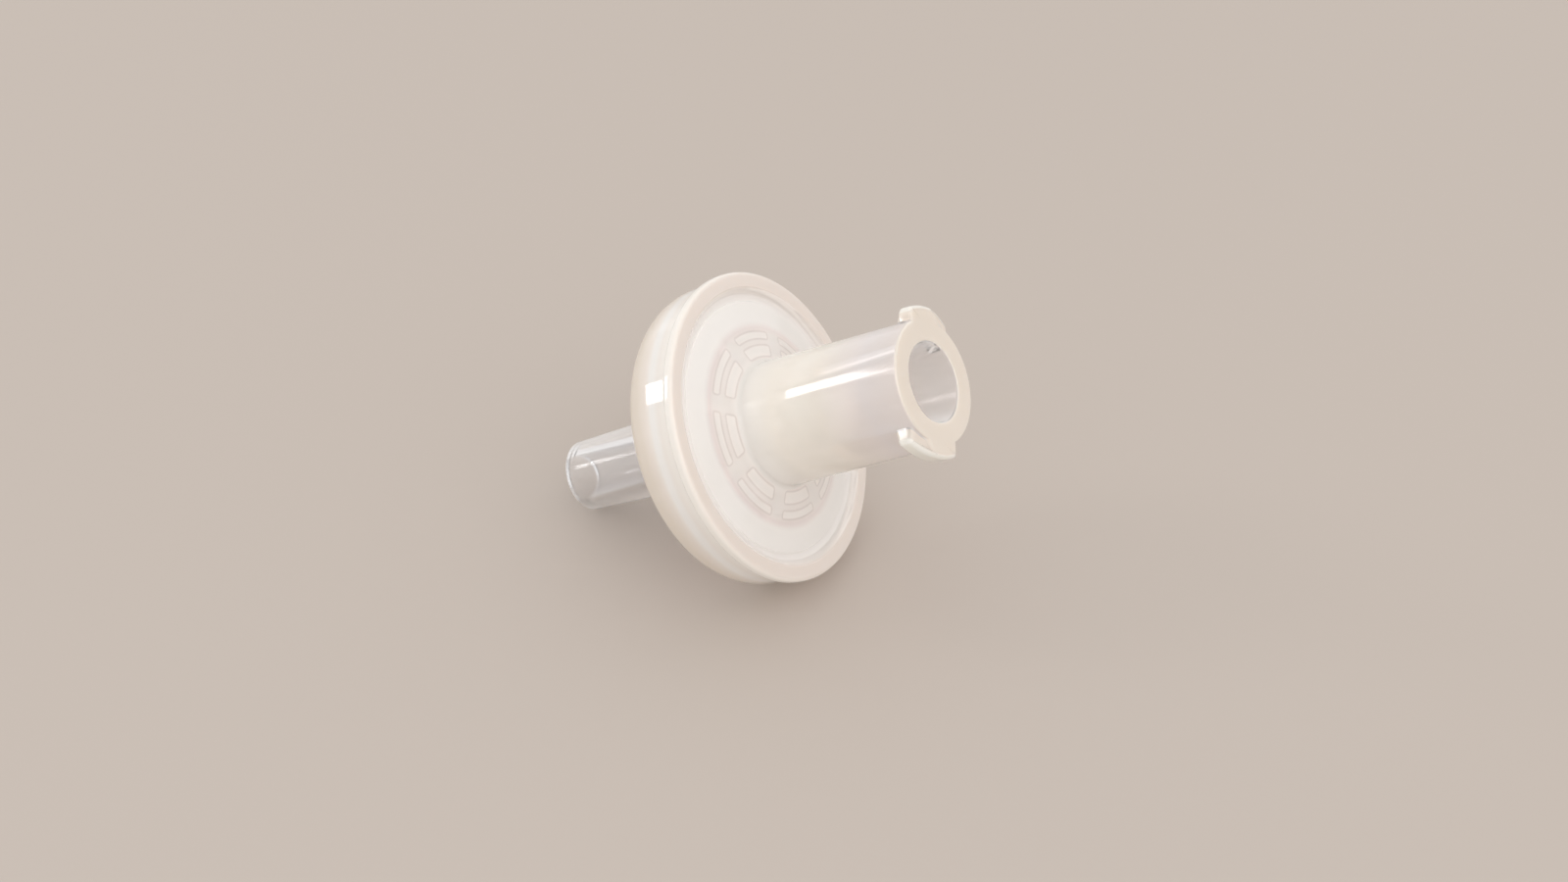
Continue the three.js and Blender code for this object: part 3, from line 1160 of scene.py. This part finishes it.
    def colour(self, spot: Spot, ends: Node, lines: Node) -> Node:
        """Mixes the body's colours and its painted light and shade, each part of the moulding over those before
        it.

        Args:
            spot: The point.
            ends: 1 on the end faces.
            lines: 1 along the ribs' outlines on the roof, where painted shade goes.

        Returns:
            The colour.
        """
        tree, crown = spot.tree, spot.share(Zone.LUG_CROWN)
        kept = add_node(tree, "ShaderNodeMapRange", None, {
            "Value": crown, "To Min": 1.0, "To Max": self.crown_cream})
        flat = add_node(tree, "ShaderNodeMath", PRODUCT, {0: ends, 1: kept})
        deep = add_node(tree, "ShaderNodeMix", COLOURS, {
            0: spot.share(Zone.BEYOND_HUB), 6: srgb(self.cream), 7: srgb(self.rim_cream)})
        thin = add_node(tree, "ShaderNodeMath", LARGEST, {0: spot.share(Zone.SOCKET), 1: spot.share(Zone.TIP)})
        # painted shade along the ribs' outlines
        drawn = add_node(tree, "ShaderNodeMath", PRODUCT, {0: lines, 1: self.rib_outline_shade_share})
        colour = self.bands(spot, self.wall_and_edge_shade_along)
        # the disc's side takes painted light and shade from its bands
        for share, over in (
                (spot.share(Zone.SIDE), self.bands(spot, self.side_light_and_shade_along)),
                (spot.share(Zone.LUGS), srgb(self.lug_tint)), (crown, srgb(self.lug_rim)),
                (flat, deep), (thin, srgb(self.glass)), (drawn, srgb(self.rib_outline_shade))):
            colour = add_node(tree, "ShaderNodeMix", COLOURS, {0: share, 6: colour, 7: over})
        return colour

    def passing(self, spot: Spot, ends: Node, pads: Node) -> Node:
        """Finds how much of the light goes through the wall rather than scatters in it.

        Args:
            spot: The point.
            ends: 1 on the end faces.
            pads: 1 on the roof over the ribs.

        Returns:
            The share, and 1 where light leaves the wall from inside.
        """
        tree, covered = spot.tree, ends
        for share, milk in (
                (spot.share(Zone.LUGS), self.lug_milk), (spot.share(Zone.LUG_CROWN), 1.0),
                (spot.share(Zone.SIDE), self.side_milk), (pads, self.rib_milk)):
            part = add_node(tree, "ShaderNodeMath", PRODUCT, {0: share, 1: milk})
            covered = add_node(tree, "ShaderNodeMath", LARGEST, {0: covered, 1: part})
        left = add_node(tree, "ShaderNodeMapRange", None, {
            "Value": covered, "To Min": 1.0, "To Max": self.milk_clear})
        seen = add_node(tree, "ShaderNodeMath", PRODUCT, {0: self.clearness(spot), 1: left})
        for zone, clear in ((Zone.SOCKET, self.socket_clear), (Zone.RECESS, self.recess_clear)):
            part = add_node(tree, "ShaderNodeMath", PRODUCT, {0: spot.share(zone), 1: clear})
            seen = add_node(tree, "ShaderNodeMath", LARGEST, {0: seen, 1: part})
        facing = add_node(tree, "ShaderNodeLayerWeight", None, {"Blend": 0.5}).outputs["Facing"]
        along_wall = add_node(tree, "ShaderNodeMapRange", FADE, {
            "Value": facing, "From Min": self.grazing[0], "From Max": self.grazing[1],
            "To Min": 1.0, "To Max": self.grazing_clear})
        skin = add_node(tree, "ShaderNodeMath", PRODUCT, {0: seen, 1: along_wall})
        leaving = add_node(tree, "ShaderNodeNewGeometry").outputs["Backfacing"]
        return add_node(tree, "ShaderNodeMath", LARGEST, {0: skin, 1: leaving})

    def material(self) -> Material:
        """Builds the finish of the outside.

        Returns:
            The material.
        """
        made = blank_material("natural_polypropylene_moulded")
        tree = made.node_tree
        spot = Spot.in_material(tree, self.lie)
        ends, roof = self.end_faces(spot), spot.share(Zone.THIN_ROOF)
        # the outlines take painted shade; the pads only make the roof milkier
        lines, pads = (
            add_node(tree, "ShaderNodeMath", PRODUCT, {0: mark, 1: roof}) for mark in self.rib_marks(spot))
        shader = add_node(tree, "ShaderNodeBsdfPrincipled", {"subsurface_method": "RANDOM_WALK"}, {
            "Base Color": self.colour(spot, ends, lines), "IOR": self.ior, **self.surface(spot),
            "Transmission Weight": self.passing(spot, ends, pads),
            "Subsurface Weight": 1.0, "Subsurface Radius": (1.0, 1.0, 1.0), "Subsurface Scale": self.scatter * MM})
        let_in = add_node(tree, "ShaderNodeMapRange", None, {
            "Value": roof, "To Min": self.lamp_share, "To Max": 1.0})
        self.let_light_in(tree, shader, let_in)
        return made


@dataclass(frozen=True)
class MembraneFinish:
    """Porous PTFE film: paper white and dead matt, with a faint fibrous mottle.

    Args:
        white: Its colour.
        fibre: Colour of the mottle's darker strands.
        mottle: Size of the mottle, in mm; the real fibres are far too fine to show, so it is drawn coarser.
        roughness: Its roughness.
    """

    white: str = "#FFFBF9"
    fibre: str = "#F9F4F1"
    mottle: float = 0.4
    roughness: float = 0.85

    def material(self) -> Material:
        """Builds the material.

        Returns:
            The material.
        """
        made = blank_material("porous_ptfe_film")
        tree = made.node_tree
        place = add_node(tree, "ShaderNodeTexCoord").outputs["Object"]
        strands = add_node(tree, "ShaderNodeTexNoise", None, {
            "Vector": place, "Scale": 1 / (self.mottle * MM), "Detail": 4.0})
        shade = add_node(tree, "ShaderNodeMix", COLOURS, {0: strands, 6: srgb(self.white), 7: srgb(self.fibre)})
        bump = add_node(tree, "ShaderNodeBump", None, {"Strength": 0.2, "Distance": 0.02 * MM, "Height": strands})
        shader = add_node(tree, "ShaderNodeBsdfPrincipled", None, {
            "Base Color": shade, "Roughness": self.roughness, "Normal": bump})
        add_node(tree, "ShaderNodeOutputMaterial", None, {"Surface": shader})
        return made


# ---- studio ----

@dataclass(frozen=True)
class Lamp:
    """A rectangular lamp that faces the filter.

    Args:
        name: Its name.
        azimuth: Direction it stands in, in degrees from +X towards +Y.
        elevation: Its height above the floor as an angle, in degrees.
        distance: How far it stands from the filter, in metres.
        size: Width and height, in metres.
        power: Watts.
        roll: Turn about the way it faces, in degrees.
        tint: Colour of its light.
    """

    name: str
    azimuth: float
    elevation: float
    distance: float
    size: tuple[float, float]
    power: float
    roll: float = 0.0
    tint: str = "#FFFCFA"

    def build(self, target: Vector) -> None:
        """Adds the lamp.

        Args:
            target: What it faces.
        """
        a, e = math.radians(self.azimuth), math.radians(self.elevation)
        way = Vector((math.cos(a) * math.cos(e), math.sin(a) * math.cos(e), math.sin(e)))
        light = bpy.data.lights.new(self.name, "AREA")
        light.shape = "RECTANGLE"
        light.size, light.size_y = self.size
        light.energy = self.power
        light.color = srgb(self.tint)[:3]
        lamp = bpy.data.objects.new(self.name, light)
        bpy.context.scene.collection.objects.link(lamp)
        lamp.location = target + way * self.distance
        facing = way.to_track_quat("Z", "Y").to_matrix() @ Matrix.Rotation(math.radians(self.roll), 3, "Z")
        lamp.rotation_euler = facing.to_euler()


@dataclass(frozen=True)
class Studio:
    """Pale floor, plain light and the camera.

    Args:
        floor_tint: Colour of the floor.
        floor_cloud: Colour of its faint clouds.
        air_tint: Colour of the light from all round.
        ambient: Strength of that light.
        ceiling: Its strength from straight above, for each part of the ambient strength.
        ground: The same from straight below.
        eye: Camera's place, in metres.
        azimuth: Camera's azimuth in degrees, 0 looking along +Y.
        elevation: Camera's height as an angle, in degrees.
        lens: Focal length in mm on a 36 mm wide sensor.
    """

    floor_tint: str = "#C3BAB2"
    floor_cloud: str = "#C7BEB6"
    air_tint: str = "#FFFBF8"
    ambient: float = 0.87
    ceiling: float = 1.04
    ground: float = 0.94
    eye: tuple[float, float, float] = (0.05458258, -0.12413688, 0.10939204)
    azimuth: float = 23.23
    elevation: float = 36.99
    lens: float = 72.0

    def floor(self) -> None:
        """Adds a wide plain floor of matt laminate: even and dull, with soft shadows and no reflections."""
        bpy.ops.mesh.primitive_plane_add(size=6)
        floor = bpy.context.object
        floor.name = floor.data.name = "studio_floor"
        made = blank_material("matt_pale_laminate")
        tree = made.node_tree
        place = add_node(tree, "ShaderNodeTexCoord").outputs["Object"]
        cloud = add_node(tree, "ShaderNodeTexNoise", None, {"Vector": place, "Scale": 6.0, "Detail": 2.0})
        shade = add_node(tree, "ShaderNodeMix", COLOURS, {
            0: cloud, 6: srgb(self.floor_tint), 7: srgb(self.floor_cloud)})
        shader = add_node(tree, "ShaderNodeBsdfPrincipled", None, {"Base Color": shade, "Roughness": 0.55})
        add_node(tree, "ShaderNodeOutputMaterial", None, {"Surface": shader})
        dress(floor, made)

    def world(self) -> None:
        """Lights the room from all round, a little more from the ceiling than from the walls."""
        world = bpy.data.worlds.new("room")
        bpy.context.scene.world = world
        world.use_nodes = True
        tree = world.node_tree
        tree.nodes.clear()
        way = add_node(tree, "ShaderNodeTexCoord").outputs["Generated"]
        up = add_node(tree, "ShaderNodeSeparateXYZ", None, {"Vector": way}).outputs["Z"]
        level = add_node(tree, "ShaderNodeMapRange", None, {
            "Value": up, "To Min": self.ambient * self.ground, "To Max": self.ambient * self.ceiling})
        light = add_node(tree, "ShaderNodeBackground", None, {"Color": srgb(self.air_tint), "Strength": level})
        add_node(tree, "ShaderNodeOutputWorld", None, {"Surface": light})

    def camera(self) -> None:
        """Adds the camera."""
        a, e = math.radians(self.azimuth), math.radians(self.elevation)
        back = Vector((math.sin(a) * math.cos(e), -math.cos(a) * math.cos(e), math.sin(e)))
        data = bpy.data.cameras.new("camera")
        data.lens, data.sensor_width = self.lens, 36.0
        data.clip_start, data.clip_end = 0.005, 20.0
        camera = bpy.data.objects.new("camera", data)
        bpy.context.scene.collection.objects.link(camera)
        camera.location = self.eye
        camera.rotation_euler = back.to_track_quat("Z", "Y").to_euler()
        bpy.context.scene.camera = camera

    def build(self) -> None:
        """Sets the whole studio up."""
        self.camera()
        self.floor()
        self.world()
        middle = Vector((0, 0, 0.0085))
        lamps = [
            Lamp("window", -165.0, 21.5, 0.6, (0.135, 0.065), 0.31, roll=-12.0),
            Lamp("fill", -40.0, 48.0, 0.7, (0.7, 0.5), 1.0),
            Lamp("far_window", 150.0, 11.0, 0.7, (0.16, 0.06), 0.015),
        ]
        for lamp in lamps:
            lamp.build(middle)
        bpy.context.scene.view_settings.view_transform = "Standard"


def main() -> None:
    """Builds the filter and its studio."""
    logging.basicConfig(level=logging.INFO, format="%(name)s: %(message)s")
    membrane = Membrane()
    lie = Lie.from_frame(membrane.middle_z)
    plastic = Polypropylene(lie)
    finishes = plastic.material(), plastic.lining()
    InletHousing().build(lie, *finishes)
    membrane.build(lie, MembraneFinish().material())
    OutletHousing().build(lie, *finishes)
    Studio().build()


if __name__ == "__main__":
    main()
